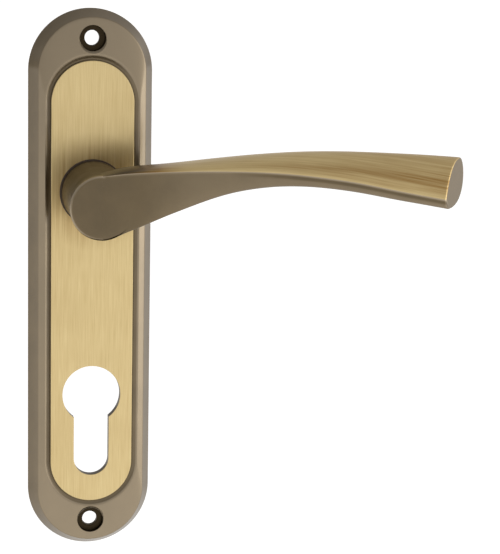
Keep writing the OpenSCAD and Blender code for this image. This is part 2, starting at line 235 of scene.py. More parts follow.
def brushed_brass(finishes):
    """Brass plate on a zinc casting, brushed through its dark tone with an abrasive belt and lacquered.
    The belt leaves fine parallel furrows, so the gloss spreads across them, and the tone stays in the
    deepest. Real furrows are under 0.1 mm wide and are drawn 0.25 mm wide so that they show. Close round
    the neck the panel is darkened with umber, as painted shade from the lever's neck."""
    material, tree = new_material("brushed_brass_plate")
    fine = streaks(tree, 0.25 * MM, 12 * MM, 3.0)
    broad = streaks(tree, 0.8 * MM, 34 * MM, 3.0)
    tarnish = clouds(tree, 24 * MM)
    place = add_node(tree, "ShaderNodeTexCoord", output="Object")
    on_door = add_node(
        tree, "ShaderNodeVectorMath", {"operation": "MULTIPLY"}, {0: place, 1: (1, 0, 1)}, "Vector"
    )
    reach = add_node(tree, "ShaderNodeVectorMath", {"operation": "LENGTH"}, {0: on_door}, "Value")
    # Painted shade on the panel round the neck, fading out between 9.5 mm and 18 mm from the spindle axis.
    neck_shade = between(reach, 9.5 * MM, 18 * MM, 0.3, 0.0)
    neck_shade = add_node(tree, "ShaderNodeMapRange", inputs=neck_shade, output="Result")
    left = {"attribute_type": "GEOMETRY", "attribute_name": "tone"}
    left = add_node(tree, "ShaderNodeAttribute", left, output="Fac")
    # The larger of the tone attribute and the painted shade round the neck.
    tone = add_node(tree, "ShaderNodeMath", {"operation": "MAXIMUM"}, {0: left, 1: neck_shade}, "Value")
    patches = (
        between(broad, 0.35, 0.68, -0.5, 0.5),
        between(tone, 0.0, 0.4, 0.0, 0.55),
        between(tone, 0.0, 0.6, 0.0, 0.9),
    )
    patches = [add_node(tree, "ShaderNodeMapRange", inputs=part, output="Result") for part in patches]
    patchy = add_node(
        tree, "ShaderNodeMath", {"operation": "MULTIPLY_ADD"}, dict(enumerate(patches)), "Value"
    )
    layers = (
        (fine, 0.38, 0.66, 0.3, finishes.brass_line),
        (broad, 0.3, 0.7, 0.16, finishes.brass_line),
        (tarnish, 0.35, 0.7, 0.14, finishes.umber_and_shade),
        (patchy, 0, 1, 1.0, finishes.umber_and_shade),
        (tone, 0.5, 1.0, 0.9, finishes.bronze),
        (tone, 0.78, 1.0, 0.5, finishes.deep_bronze_and_shade),
    )
    rough = between(fine, 0.38, 0.66, 0.3, 0.42)
    furrows = {"Height": fine, "Strength": 0.3, "Distance": 0.02 * MM}
    grain = {"direction_type": "UV_MAP", "uv_map": "grain"}
    surface(
        tree,
        {
            "Base Color": layered(tree, finishes.brass, layers),
            "Metallic": 1.0,
            "Roughness": add_node(tree, "ShaderNodeMapRange", inputs=rough, output="Result"),
            "Anisotropic": 0.6,
            "Anisotropic Rotation": 0.25,
            "Tangent": add_node(tree, "ShaderNodeTangent", grain, output="Tangent"),
            "Coat Weight": 0.2,
            "Coat Roughness": 0.22,
            "Normal": add_node(tree, "ShaderNodeBump", inputs=furrows, output="Normal"),
        },
    )
    return material


def toned_bronze(finishes):
    """Bronze-toned plate on a zinc casting, polished before toning and lacquered. The tone is thin on the
    rim, where it is rubbed, and lies thicker in soft clouds. The same attribute lays painted shade in the
    plate's groove and holes, on the neck and under the crease, and painted highlights along the lever's
    face edge, crease and neck foot. The lacquer adds a clear grey gloss, except in the recesses, where it
    is dulled."""
    material, tree = new_material("toned_bronze_plate")
    patina = clouds(tree, 9 * MM, 4.0)
    wear_and_painted_light = {"attribute_type": "GEOMETRY", "attribute_name": "wear_and_painted_light"}
    wear_and_painted_light = add_node(tree, "ShaderNodeAttribute", wear_and_painted_light, output="Fac")
    # Below 0.5 the deep bronze lays painted shade as well as tone; above 0.5 the rubbed colour lays painted
    # highlights as well as rubbed wear.
    layers = (
        (patina, 0.35, 0.7, 0.14, finishes.deep_bronze_and_shade),
        (wear_and_painted_light, 0.5, 0.0, 0.85, finishes.deep_bronze_and_shade),
        (wear_and_painted_light, 0.5, 1.0, 0.8, finishes.rubbed_and_highlight),
    )
    rough = between(patina, 0.3, 0.7, 0.34, 0.42)
    coat = between(wear_and_painted_light, 0.02, 0.2, 0.05, 0.55)
    polish = {"Height": streaks(tree, 0.4 * MM, 16 * MM), "Strength": 0.12, "Distance": 0.012 * MM}
    surface(
        tree,
        {
            "Base Color": layered(tree, finishes.bronze, layers),
            "Metallic": 1.0,
            "Roughness": add_node(tree, "ShaderNodeMapRange", inputs=rough, output="Result"),
            "Specular Tint": (0.6, 0.57, 0.53, 1.0),
            "Coat Weight": add_node(tree, "ShaderNodeMapRange", inputs=coat, output="Result"),
            "Coat Roughness": 0.16,
            "Normal": add_node(tree, "ShaderNodeBump", inputs=polish, output="Normal"),
        },
    )
    return material


def clouded(name, size, colours, cover, rough, grain, settings):
    """A plain finish in two colours. The second covers the first in clouds of a size in mm, the
    roughness follows the clouds, and the grain is [size in mm, strength, depth in mm]."""
    material, tree = new_material(name)
    cloud = clouds(tree, size * MM)
    gloss = between(cloud, 0.3, 0.7, *rough)
    width, strength, depth = grain
    bump = {"Height": clouds(tree, width * MM), "Strength": strength, "Distance": depth * MM}
    surface(
        tree,
        {
            "Base Color": layered(tree, colours[0], [(cloud, *cover, colours[1])]),
            "Roughness": add_node(tree, "ShaderNodeMapRange", inputs=gloss, output="Result"),
            "Normal": add_node(tree, "ShaderNodeBump", inputs=bump, output="Normal"),
            **settings,
        },
    )
    return material


def zinc_plated_steel(finishes):
    """Pressed steel, bright zinc plated: a pale, slightly cloudy metal with a soft gloss."""
    colours, cover = (finishes.zinc, finishes.steel), (0.35, 0.7, 0.3)
    grain = (0.3, 0.2, 0.01)
    return clouded("zinc_plated_steel", 3, colours, cover, (0.26, 0.4), grain, {"Metallic": 1.0})


def spring_wire(finishes):
    """Hard-drawn spring steel, oiled: darker than the plate, with faint marks of the drawing die."""
    colours, cover = (finishes.steel, finishes.oxide), (0.35, 0.7, 0.4)
    grain = (0.2, 0.2, 0.006)
    return clouded("drawn_spring_steel", 1.5, colours, cover, (0.22, 0.34), grain, {"Metallic": 1.0})


def black_oxide(finishes):
    """Hardened steel blackened in a salt bath: nearly black, with a dull, dry gloss."""
    colours, cover = (finishes.oxide, finishes.steel), (0.4, 0.7, 0.35)
    grain = (0.15, 0.3, 0.01)
    return clouded("black_oxide_steel", 1.2, colours, cover, (0.36, 0.5), grain, {"Metallic": 0.85})


def moulded_nylon(finishes):
    """Dark brown nylon, injection moulded: a soft sheen with the mould's fine grain."""
    colours, cover = (finishes.nylon, finishes.oxide), (0.35, 0.7, 0.3)
    grain, settings = (0.25, 0.25, 0.01), {"Metallic": 0.0, "IOR": 1.53}
    return clouded("moulded_nylon", 2.5, colours, cover, (0.42, 0.55), grain, settings)


# ---------------------------------------------------------------- meshes


def new_object(name, verts, edges=(), faces=()):
    mesh = bpy.data.meshes.new(name)
    mesh.from_pydata([tuple(v) for v in verts], list(edges), list(faces))
    item = bpy.data.objects.new(name, mesh)
    bpy.context.scene.collection.objects.link(item)
    return item


def remove(item):
    mesh = item.data
    bpy.data.objects.remove(item)
    bpy.data.meshes.remove(mesh)


def settle(item):
    """Makes the evaluated mesh the object's own, and clears its modifiers."""
    bpy.context.view_layer.update()
    view = item.evaluated_get(bpy.context.evaluated_depsgraph_get())
    mesh = bpy.data.meshes.new_from_object(view)
    mesh.name = item.name
    item.modifiers.clear()
    item.data = mesh
    return item


def face_out(item, merge=1e-7):
    """Merges doubles and turns every face outwards."""
    work = bmesh.new()
    work.from_mesh(item.data)
    bmesh.ops.remove_doubles(work, verts=work.verts, dist=merge)
    bmesh.ops.recalc_face_normals(work, faces=work.faces)
    work.to_mesh(item.data)
    work.free()
    return item


def drop_slivers(item, merge):
    """Merges what lies closer than this, and drops the flat scraps that a Boolean can leave where two
    surfaces run into each other."""
    work = bmesh.new()
    work.from_mesh(item.data)
    bmesh.ops.triangulate(work, faces=work.faces)
    bmesh.ops.remove_doubles(work, verts=work.verts, dist=merge)
    bmesh.ops.dissolve_degenerate(work, edges=work.edges, dist=merge)
    islands, left = [], set(work.faces)
    while left:
        island, front = set(), [left.pop()]
        while front:
            face = front.pop()
            island.add(face)
            near = {other for side in face.edges for other in side.link_faces} & left
            left -= near
            front.extend(near)
        islands.append(island)
    piece = max(islands, key=len)
    scraps = [face for island in islands if island is not piece for face in island]
    bmesh.ops.delete(work, geom=scraps, context="FACES")
    work.to_mesh(item.data)
    work.free()
    return face_out(item)


def cut(item, tool, operation="DIFFERENCE"):
    """Cuts the tool from the piece, or joins it on, and removes the tool."""
    change = item.modifiers.new("cut", "BOOLEAN")
    change.operation = operation
    change.solver = "EXACT"
    change.object = tool
    settle(item)
    remove(tool)
    return item


def points_of(mesh):
    """The points' x, y and z."""
    places = np.zeros(len(mesh.vertices) * 3)
    mesh.vertices.foreach_get("co", places)
    return places.reshape(-1, 3).T


def add_values(mesh, name, values):
    mesh.attributes.new(name, "FLOAT", "POINT").data.foreach_set("value", values)


def bell(distance, width):
    """1 at no distance, falling off smoothly over about this width."""
    return np.exp(-((distance / width) ** 2))


def rise(value, start, full):
    """0 up to the start, and evenly up to 1 where it is full."""
    return np.clip((value - start) / (full - start), 0, 1)


def smooth(item, angle=30):
    """Shades smooth between faces that meet gently, and keeps large flats flat."""
    item.data.shade_smooth()
    item.data.set_sharp_from_angle(angle=math.radians(angle))
    weigh = item.modifiers.new("weigh", "WEIGHTED_NORMAL")
    weigh.keep_sharp = True
    weigh.weight = 60
    return settle(item)


def solid_rings(name, rings, grains=None, slots=None):
    """A closed skin over rings of [x, y, z] points. Grains gives each ring's points their place along
    and round the piece, and slots gives each place round the ring its material."""
    count = len(rings[0])
    verts = [p for ring in rings for p in ring]
    faces = [tuple(range(count - 1, -1, -1))]
    for i in range(len(rings) - 1):
        for k in range(count):
            n = (k + 1) % count
            faces.append((i * count + k, i * count + n, (i + 1) * count + n, (i + 1) * count + k))
    faces.append(tuple((len(rings) - 1) * count + k for k in range(count)))
    item = new_object(name, verts, faces=faces)
    if slots is not None:
        indices = [0] + list(slots) * (len(rings) - 1) + [0]
        item.data.polygons.foreach_set("material_index", indices)
    if grains is not None:
        layer = item.data.uv_layers.new(name="grain")
        values = np.zeros((len(item.data.loops), 2))
        at = count
        for i in range(len(rings) - 1):
            for k in range(count):
                corners = ((i, k), (i, k + 1), (i + 1, k + 1), (i + 1, k))
                for step, (ring, place) in enumerate(corners):
                    values[at + step] = grains[ring][place]
                at += 4
        layer.data.foreach_set("uv", values.ravel())
    return item


# ---------------------------------------------------------------- geometry trees


def work_out(tree, values, sums):
    """Adds the sums [name, operation, first, second] in turn. Each part is a number or the name of a
    value worked out before it."""
    for name, operation, *parts in sums:
        parts = {i: values.get(part, part) for i, part in enumerate(parts)}
        values[name] = add_node(tree, "ShaderNodeMath", {"operation": operation}, parts, "Value")


def new_tree(name, inputs):
    """An empty geometry tree with these inputs, each a label and its kind of socket, and what they give."""
    tree = bpy.data.node_groups.get(name) or bpy.data.node_groups.new(name, "GeometryNodeTree")
    tree.nodes.clear()
    tree.interface.clear()
    for label, kind in inputs.items():
        tree.interface.new_socket(label, in_out="INPUT", socket_type=f"NodeSocket{kind}")
    tree.interface.new_socket("Form", in_out="OUTPUT", socket_type="NodeSocketGeometry")
    return tree, add_node(tree, "NodeGroupInput").outputs


def finish_tree(tree, form, finish):
    """Makes the form's instances real, gives it its material and sends it out."""
    real = add_node(tree, "GeometryNodeRealizeInstances", inputs={"Geometry": form}, output="Geometry")
    finished = {"Geometry": real, "Material": finish}
    finished = add_node(tree, "GeometryNodeSetMaterial", inputs=finished, output="Geometry")
    add_node(tree, "NodeGroupOutput", inputs={"Form": finished})
    return tree


def sweep_tree():
    """A ring swept round two arc centres. The input mesh is the form's profile, a line of points that
    hold the radius, the share of the inner span, and the height above the door."""
    inputs = {"Profile": "Geometry", "Outer Span": "Float", "Inner Span": "Float", "Sides": "Int"}
    tree, given = new_tree("swept form", {**inputs, "Finish": "Material"})
    profile = given["Profile"]
    rings = add_node(
        tree, "GeometryNodeAttributeDomainSize", {"component": "MESH"}, {"Geometry": profile}, "Point Count"
    )
    values = {
        "sides": given["Sides"],
        "outer": given["Outer Span"],
        "inner": given["Inner Span"],
        "index": add_node(tree, "GeometryNodeInputIndex", output="Index"),
    }
    count = (
        ("around", "ADD", "sides", 1),
        ("mid index", "ADD", "index", 0.5),
        ("rings in", "DIVIDE", "mid index", "around"),
        ("ring", "FLOOR", "rings in", 0),
        ("before", "MULTIPLY", "ring", "around"),
        ("step", "SUBTRACT", "index", "before"),
    )
    work_out(tree, values, count)
    grid = {"Vertices X": rings, "Vertices Y": values["around"]}
    grid = add_node(tree, "GeometryNodeMeshGrid", inputs=grid, output="Mesh")
    place = add_node(tree, "GeometryNodeInputPosition", output="Position")
    sample = add_node(
        tree,
        "GeometryNodeSampleIndex",
        {"data_type": "FLOAT_VECTOR", "domain": "POINT"},
        {"Geometry": profile, "Value": place, "Index": values["ring"]},
        "Value",
    )
    parts = add_node(tree, "ShaderNodeSeparateXYZ", inputs={"Vector": sample}).outputs
    values["radius"], values["share"], values["height"] = (parts[axis] for axis in "XYZ")
    point = (
        ("mid step", "ADD", "step", 0.5),
        ("turn", "DIVIDE", "mid step", "sides"),
        ("angle", "MULTIPLY", "turn", math.tau),
        ("sine", "SINE", "angle", 0),
        ("cosine", "COSINE", "angle", 0),
        ("change", "SUBTRACT", "inner", "outer"),
        ("changed", "MULTIPLY", "share", "change"),
        ("span", "ADD", "outer", "changed"),
        ("x", "MULTIPLY", "radius", "cosine"),
        ("y", "MULTIPLY", "height", -1),
        ("end", "SIGN", "sine", 0),
        ("centre", "MULTIPLY", "span", "end"),
        ("rise", "MULTIPLY", "radius", "sine"),
        ("z", "ADD", "centre", "rise"),
    )
    work_out(tree, values, point)
    point = {axis.upper(): values[axis] for axis in "xyz"}
    point = add_node(tree, "ShaderNodeCombineXYZ", inputs=point, output="Vector")
    placed = {"Geometry": grid, "Position": point}
    placed = add_node(tree, "GeometryNodeSetPosition", inputs=placed, output="Geometry")
    merged = {"Geometry": placed, "Distance": 1e-6}
    merged = add_node(tree, "GeometryNodeMergeByDistance", inputs=merged, output="Geometry")
    return finish_tree(tree, merged, given["Finish"])


def run_tree(item, tree, values):
    """Runs the tree on the object with its inputs set, and keeps the plain mesh."""
    change = item.modifiers.new("form", "NODES")
    change.node_group = tree
    for socket in tree.interface.items_tree:
        if socket.in_out == "INPUT" and socket.name in values:
            change[socket.identifier] = values[socket.name]
    return settle(item)


def swept(name, profile, finish, outer=0.0, inner=0.0, sides=96, centre=0.0, across=0.0):
    """A closed form from profile points [radius, share of the inner span, height]. The profile starts
    and ends on the axis. The form's centre is put at (across, centre) on the door."""
    item = new_object(name, profile, [(i, i + 1) for i in range(len(profile) - 1)])
    values = {"Outer Span": outer, "Inner Span": inner, "Sides": sides, "Finish": finish}
    run_tree(item, sweep_tree(), values)
    item.data.transform(Matrix.Translation((across, 0, centre)))
    return face_out(item)


def rounded(points, radii, steps=5):
    """Rounds a profile's corners. Each radius is how far along each side the rounding starts."""
    points = [np.array(p, float) for p in points]
    out = []
    for i, p in enumerate(points):
        radius = radii.get(i, 0)
        if not radius:
            out.append(p)
            continue
        ends = []
        for other in (points[i - 1], points[i + 1]):
            reach = math.hypot(other[0] - p[0], other[2] - p[2])
            ends.append(p + (other - p) * min(radius / reach, 0.49))
        for k in range(steps + 1):
            t = k / steps
            out.append((1 - t) ** 2 * ends[0] + 2 * t * (1 - t) * p + t * t * ends[1])
    return out


# ---------------------------------------------------------------- backplate


def key_outline(sizes, grow):
    """The euro profile's outline, grown all round: [x, z] points with a fixed count."""
    big, leg = sizes.cutout_round / 2 + grow, sizes.cutout_leg / 2 + grow
    meet = math.asin(leg / big)
    low = sizes.cutout_round / 2 - sizes.cutout_height + sizes.cutout_leg / 2
    points = []
    for k in range(73):
        a = -math.pi / 2 + meet + (math.tau - 2 * meet) * k / 72
        points.append((big * math.cos(a), big * math.sin(a)))
    for k in range(37):
        a = math.pi + math.pi * k / 36
        points.append((leg * math.cos(a), low + leg * math.sin(a)))
    return [(x, z - sizes.cutout_drop) for x, z in points]


def backplate_wear_and_painted_light(sizes, mid, x, height, z):
    """How rubbed (1) or how dark (0) the finish is at each point, from the distance to the rim's edge, its
    crest, the groove and the holes. The rim is rubbed lighter; the dark line in the groove and the dark
    inside the counterbores and under the panel's outline are painted shade."""
    half, panel, along = sizes.height / 2, sizes.panel_width / 2, np.abs(z - mid)
    outer_r = np.hypot(x, np.maximum(along - (half - sizes.width / 2), 0))
    inner_r = np.hypot(x, np.maximum(along - (half - sizes.panel_inset - panel), 0))
    edge_r, blur = sizes.width / 2 - sizes.bevel, 0.2 * MM
    bevel = rise(outer_r, edge_r - blur, edge_r + blur)
    rim = (1 - bevel) * (inner_r > panel + sizes.cove * 0.8)
    # Painted shade: a dark line in the groove round the panel's foot.
    groove = bell(inner_r - (panel + 0.1 * MM), 0.32 * MM) * (height < sizes.panel_height - 0.2 * MM)
    wear_and_painted_light = 0.6 + 0.18 * rim - 0.22 * groove - 0.07 * bevel
    bored = np.hypot(x, along - (half - sizes.screw_inset))
    slope = (sizes.crest_height - sizes.edge_height) / (sizes.panel_inset - sizes.cove - sizes.bevel)
    rim_height = sizes.edge_height + slope * (half - sizes.bevel - along)
    # Painted shade inside the screw holes' counterbores, and on all faces under the panel's outline below
    # its top: the cut-out, the bore and the hollow back.
    in_hole = (bored < sizes.screw_head / 2 + 0.1 * MM) & (height < rim_height - 0.2 * MM)
    in_cutout = (inner_r < panel - 0.01 * MM) & (height < sizes.panel_height - 0.1 * MM)
    wear_and_painted_light = np.where(in_hole, 0.02, wear_and_painted_light)
    return np.clip(np.where(in_cutout, 0.1, wear_and_painted_light), 0, 1)


RIM_CROWN = 0.1 * MM


def plate_profile(sizes):
    """The plate's profile [radius, share of the inner span, height]: the cavity, the outer wall, the
    bevel, the rim, the cove and the panel."""
    half, panel = sizes.width / 2, sizes.panel_width / 2
    edge_r, crest_r = half - sizes.bevel, panel + sizes.cove
    cavity_r = edge_r - sizes.wall * 0.8
    edge_h, crest_h, top_h = sizes.edge_height, sizes.crest_height, sizes.panel_height
    rim = []
    for k in range(1, 8):
        t = k / 8
        height = edge_h + (crest_h - edge_h) * t + RIM_CROWN * 4 * t * (1 - t)
        rim.append((edge_r + (crest_r - edge_r) * t, t, height))
    corners = [
        (0, 0, sizes.cavity_height),
        (cavity_r, 0, sizes.cavity_height),
        (half - sizes.wall, 0, 0),
        (half, 0, 0),
        (edge_r, 0, edge_h),
        *rim,
        (crest_r, 1, crest_h),
        (panel + 0.75 * MM, 1, sizes.groove_height + 0.05 * MM),
        (panel, 1, sizes.groove_height - 0.05 * MM),
        (panel, 1, top_h),
        (0, 1, top_h),
    ]
    cavity, rest_in, rest_out, edge = range(1, 5)
    crest, cove, groove, brow = range(len(corners) - 5, len(corners) - 1)
    radii = {cavity: 0.9, rest_in: 0.15, rest_out: 0.12, edge: 0.25}
    radii.update({crest: 0.85, cove: 0.6, groove: 0.12, brow: 0.24})
    return rounded(corners, {corner: radius * MM for corner, radius in radii.items()})


def screw_profile(sizes):
    """What a screw hole takes away: the hole, the counterbore and the countersink at its mouth."""
    rim_out = sizes.height / 2 - sizes.bevel
    rim_in = sizes.height / 2 - sizes.panel_inset + sizes.cove
    at = sizes.height / 2 - sizes.screw_inset
    share = (rim_out - at) / (rim_out - rim_in)
    mouth = sizes.edge_height + (sizes.crest_height - sizes.edge_height) * share + RIM_CROWN
    hole, head, sink = sizes.screw_hole / 2, sizes.screw_head / 2, sizes.screw_sink / 2
    corners = [
        (0, 0, -MM),
        (hole, 0, -MM),
        (hole, 0, sizes.screw_seat),
        (head, 0, sizes.screw_seat),
        (head, 0, mouth - (sink - head)),
        (sink + MM, 0, mouth + MM),
        (0, 0, mouth + MM),
    ]
    return rounded(corners, {2: 0.2 * MM, 3: 0.15 * MM, 4: 0.3 * MM})


class HANDLE_OT_backplate(bpy.types.Operator):
    """Build the backplate with its raised panel, euro cut-out and screw holes"""

    bl_idname = "handle.backplate"
    bl_label = "Backplate"

    def execute(self, context):
        sizes, finishes = context.scene.handle_plate, context.scene.handle_finishes
        bronze, brass = toned_bronze(finishes), brushed_brass(finishes)
        mid, half, top = (PLATE_LOW.z + PLATE_HIGH.z) / 2, sizes.height / 2, sizes.panel_height
        panel = sizes.panel_width / 2
        outer, inner = half - sizes.width / 2, half - sizes.panel_inset - panel
        form = plate_profile(sizes)
        plate = swept("backplate_cast", form, bronze, outer, inner, sides=192, centre=mid)

        # The screw bosses and the stop posts stand inside the hollow back.
        screw = half - sizes.screw_inset
        boss = sizes.screw_head / 2 + 1.7 * MM
        studs = [(boss, 1.8 * MM, 0.4 * MM, 64, 0, mid + side * screw) for side in (-1, 1)]
        spring = context.scene.handle_spring
        for angle in (stop_angle(spring, 1), stop_angle(spring, -1), math.radians(270)):
            x, z = spring.post * math.cos(angle), spring.post * math.sin(angle)
            studs.append((POST_R, 0.4 * MM, 0.3 * MM, 48, x, z))
        floor = sizes.cavity_height + 0.4 * MM
        for radius, end, edge, sides, x, z in studs:
            form = rounded([(0, 0, end), (radius, 0, end), (radius, 0, floor), (0, 0, floor)], {1: edge})
            cut(plate, swept("stud", form, bronze, sides=sides, centre=z, across=x), "UNION")

        bore = sizes.bush_bore / 2
        form = [(0, 0, -MM), (bore, 0, -MM), (bore, 0, top + MM), (0, 0, top + MM)]
        cut(plate, swept("bore", form, bronze))
        mouth = 0.18 * MM
        levels = [(-MM, 0), (top - mouth, 0), (top - 0.4 * mouth, 0.2 * mouth)]
        levels += [(top, mouth), (top + MM, mouth + MM)]
        rings = [[(x, -h, z) for x, z in key_outline(sizes, grow)] for h, grow in levels]
        cut(plate, face_out(solid_rings("key", rings)))
        for side in (-1, 1):
            form = screw_profile(sizes)
            cut(plate, swept("screw", form, bronze, centre=mid + side * screw, sides=72))
        face_out(plate)

        mesh = plate.data
        mesh.materials.clear()
        mesh.materials.append(bronze)
        mesh.materials.append(brass)
        for polygon in mesh.polygons:
            x, y, z = polygon.center
            inside = math.hypot(x, max(abs(z - mid) - inner, 0)) < panel + 0.01 * MM
            brushed = inside and -polygon.normal.y > 0.35 and -y > top - 0.3 * MM
            polygon.material_index = 1 if brushed else 0
        x, y, z = points_of(mesh)
        add_values(mesh, "wear_and_painted_light", backplate_wear_and_painted_light(sizes, mid, x, -y, z))
        while mesh.uv_layers:
            mesh.uv_layers.remove(mesh.uv_layers[0])
        grain = mesh.uv_layers.new(name="grain")
        index = np.zeros(len(mesh.loops), int)
        mesh.loops.foreach_get("vertex_index", index)
        grain.data.foreach_set("uv", np.stack([z[index], x[index] + 0.3 * y[index]], 1).ravel())
        smooth(plate)
        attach(plate, "plate")
        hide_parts("backplate")
        return {"FINISHED"}


# ---------------------------------------------------------------- lever

# The blade at its key stations, in mm. Heights are from the spindle axis and depths from the front
# face: [share of the reach, crease, bottom, bottom depth, top, top depth, back depth].
BLADE_KEYS = np.array(
    [
        [-0.01726, 9.15, -9.32, 1.2, 9.2, 6.0, 22.0],
        [0.06, 9.9, -6.8, 1.3, 10.9, 6.3, 19.0],
        [0.20, 10.4, -1.3, 1.6, 12.2, 7.0, 14.0],
        [0.34, 10.4, 3.4, 2.0, 13.6, 7.5, 12.4],
        [0.46, 10.0, 5.4, 2.3, 14.6, 7.8, 11.8],
        [0.58, 9.0, 5.6, 2.4, 15.2, 8.0, 11.4],
        [0.72, 7.1, 4.1, 2.4, 15.2, 8.1, 11.2],
        [0.86, 4.4, 1.4, 2.4, 14.5, 8.1, 11.0],
        [1.00, 1.8, -1.2, 2.4, 13.4, 8.1, 10.8],
    ]
)
ARC = 16  # points along each arc of a section
FOLD = 5  # points across the crease
CREASE_R = 0.35  # rounding of the crease, in mm
TIP_R = 0.35  # rounding of the tip, in mm
ROUND = 96  # points round the neck


def blade_at(share):
    """The table's columns at a share of the reach, on smooth curves through the keys."""
    keys = BLADE_KEYS
    slopes = np.array([(keys[min(i + 1, 8)] - keys[max(i - 1, 0)]) for i in range(9)])
    slopes = slopes / slopes[:, :1]
    slopes[0, 2] = 0
    i = int(np.clip(np.searchsorted(keys[:, 0], share, side="right") - 1, 0, 7))
    width = keys[i + 1, 0] - keys[i, 0]
    t = (share - keys[i, 0]) / width
    return (
        (2 * t**3 - 3 * t**2 + 1) * keys[i]
        + (t**3 - 2 * t**2 + t) * width * slopes[i]
        + (3 * t**2 - 2 * t**3) * keys[i + 1]
        + (t**3 - t**2) * width * slopes[i + 1]
    )


def arc_points(a, b, c, d):
    t = np.arange(ARC)[:, None] / ARC
    a, b, c, d = (np.array(p, float) for p in (a, b, c, d))
    return (1 - t) ** 3 * a + 3 * t * (1 - t) ** 2 * b + 3 * t**2 * (1 - t) * c + t**3 * d


def blade_section(share):
    """One section as [depth, height] points in mm: brushed face, back, then front face."""
    _, crease, bottom, bottom_d, top, top_d, back = blade_at(share)
    over, under = top - crease, crease - bottom
    bulge, low_bulge = (back - top_d) * 4 / 3, (back - bottom_d) * 4 / 3
    arcs = (
        ((0, crease), (0.1 * over, crease + 0.5 * over), (0.45 * top_d, top), (top_d, top)),
        ((top_d, top), (top_d + bulge, top), (bottom_d + low_bulge, bottom), (bottom_d, bottom)),
        ((bottom_d, bottom), (0.1 * bottom_d, bottom), (0, crease - 0.6 * under), (0, crease)),
    )
    points = np.concatenate([arc_points(*arc) for arc in arcs])
    sides = [points[i] - points[0] for i in (-1, 1)]
    lead = points[0] + sides[0] * min(2.5 * CREASE_R / np.linalg.norm(sides[0]), 0.9)
    start, end = [points[0] + side * min(CREASE_R / np.linalg.norm(side), 0.8) for side in sides]
    t = np.arange(FOLD)[:, None] / (FOLD - 1)
    fold = (1 - t) ** 2 * start + 2 * t * (1 - t) * points[0] + t**2 * end
    return np.concatenate([lead[None], fold, points[1:]])


def blade_ring(sizes, share, inset=0.0, back_off=0.0):
    """The section at a share of the reach, leaning so that the last lies in the slanting cut."""
    points = blade_section(share)
    if inset:
        centre = points.mean(0)
        away = points - centre
        points = centre + away * (1 - inset / np.linalg.norm(away, axis=1, keepdims=True))
    t = min(max((share - 0.72) / 0.28, 0), 1)
    lean = math.tan(sizes.tip_angle) * t * t * (3 - 2 * t)
    depth, height = points.T * MM
    return np.stack([sizes.reach * share - back_off + lean * depth, depth - sizes.face, height], 1)


def blade(sizes):
    """The blade from inside the neck to its rounded, slanting tip, brushed between the crease and the
    top."""
    first = BLADE_KEYS[0, 0]
    shares = list(first + (1 - first) * np.linspace(0, 1, sizes.stations + 1))
    shares[-1] = 1 - TIP_R * MM / sizes.reach
    rings = [blade_ring(sizes, s) for s in shares]
    for turn in (30, 60, 90):
        a = math.radians(turn)
        rings.append(blade_ring(sizes, 1.0, TIP_R * (1 - math.cos(a)), TIP_R * MM * (1 - math.sin(a))))
    grains = []
    for i, ring in enumerate(rings):
        closed = np.vstack([ring, ring[:1]])
        around = np.concatenate([[0], np.cumsum(np.linalg.norm(np.diff(closed, axis=0), axis=1))])
        along = sizes.reach * shares[min(i, len(shares) - 1)]
        grains.append([(along, a) for a in around])
    below = FOLD // 2
    slots = [0] * (1 + below) + [1] * (ARC + FOLD - 1 - below) + [0] * (2 * ARC)
    return solid_rings("lever_blade", [[tuple(p) for p in ring] for ring in rings], grains, slots)


def round_ring(radius, height, shift=0.0, flat=None):
    """A ring about the spindle axis, cut by two flats where flat is given."""
    points = []
    for k in range(ROUND):
        a = math.tau * k / ROUND
        x, z = radius * math.cos(a), radius * math.sin(a)
        if flat is not None:
            x = max(min(x, flat), -flat)
        points.append((x - shift, -height, z))
    return points


def neck_and_journal(sizes):
    """The journal with its flats and circlip groove, the neck, and the round end of the front face."""
    journal, flat = sizes.journal / 2, sizes.journal / 2 - sizes.flat
    neck, start = sizes.neck / 2, -BUSH_LOW.y + SEAT_GAP
    face_r, edge = neck - sizes.taper, sizes.edge
    groove = flat - 0.2 * MM
    steps = (
        (flat, 0.1, flat),
        (journal, 0.1, flat),
        (journal, 0.25, flat),
        (groove, 0.25, None),
        (groove, 0.85, None),
        (journal, 0.85, flat),
        (journal, 1.65, flat),
        (journal, 1.65, None),
    )
    rings = [round_ring(radius, height * MM, flat=cut_at) for radius, height, cut_at in steps]
    rings.append(round_ring(journal, start))
    for inset, above in ((0.45, 0), (0.22, 0.05), (0.06, 0.2), (0, 0.42)):
        rings.append(round_ring(neck - inset * MM, start + above * MM))
    straight = sizes.face * 0.4
    rings.append(round_ring(neck, straight - 2 * MM))
    for k in range(1, 17):
        t = k / 16
        ease = t * t * (1.5 - 0.5 * t)
        height = straight + (sizes.face - edge - straight) * t
        rings.append(round_ring(neck + (face_r - neck) * t, height, sizes.shift * (0.35 * ease + 0.65 * t)))
    for share in (1.0, 0.995, 0.985, 0.965, 0.93, 0.87, 0.75, 0.6, 0.45, 0.3, 0.15, 0.02):
        ring = []
        for x, _, z in round_ring(face_r * share, 0):
            around = max(-math.cos(math.atan2(z, x)), 0) ** 0.7
            reach = max(1 - face_r * (1 - share) / edge, 0)
            depth = front_depth(z) + edge * around * (1 - math.sqrt(1 - reach**2))
            sunk = 0.4 * MM * rise(x, -0.03 * MM, 0.97 * MM)
            ring.append((x - sizes.shift, depth + sunk - sizes.face, z))
        rings.append(ring)
    grains = [[(math.tau * neck * k / ROUND, -ring[0][1]) for k in range(ROUND + 1)] for ring in rings]
    return solid_rings("lever_neck", rings, grains, [0] * ROUND)


def front_depth(z):
    """How deep the front face lies at a height, on the blade's first section, so that the round end
    of the face runs into the blade."""
    points = blade_section(BLADE_KEYS[0, 0])[-ARC:]
    points = np.vstack([points, (0, BLADE_KEYS[0, 1])])
    return float(np.interp(z / MM, points[:, 1], points[:, 0])) * MM


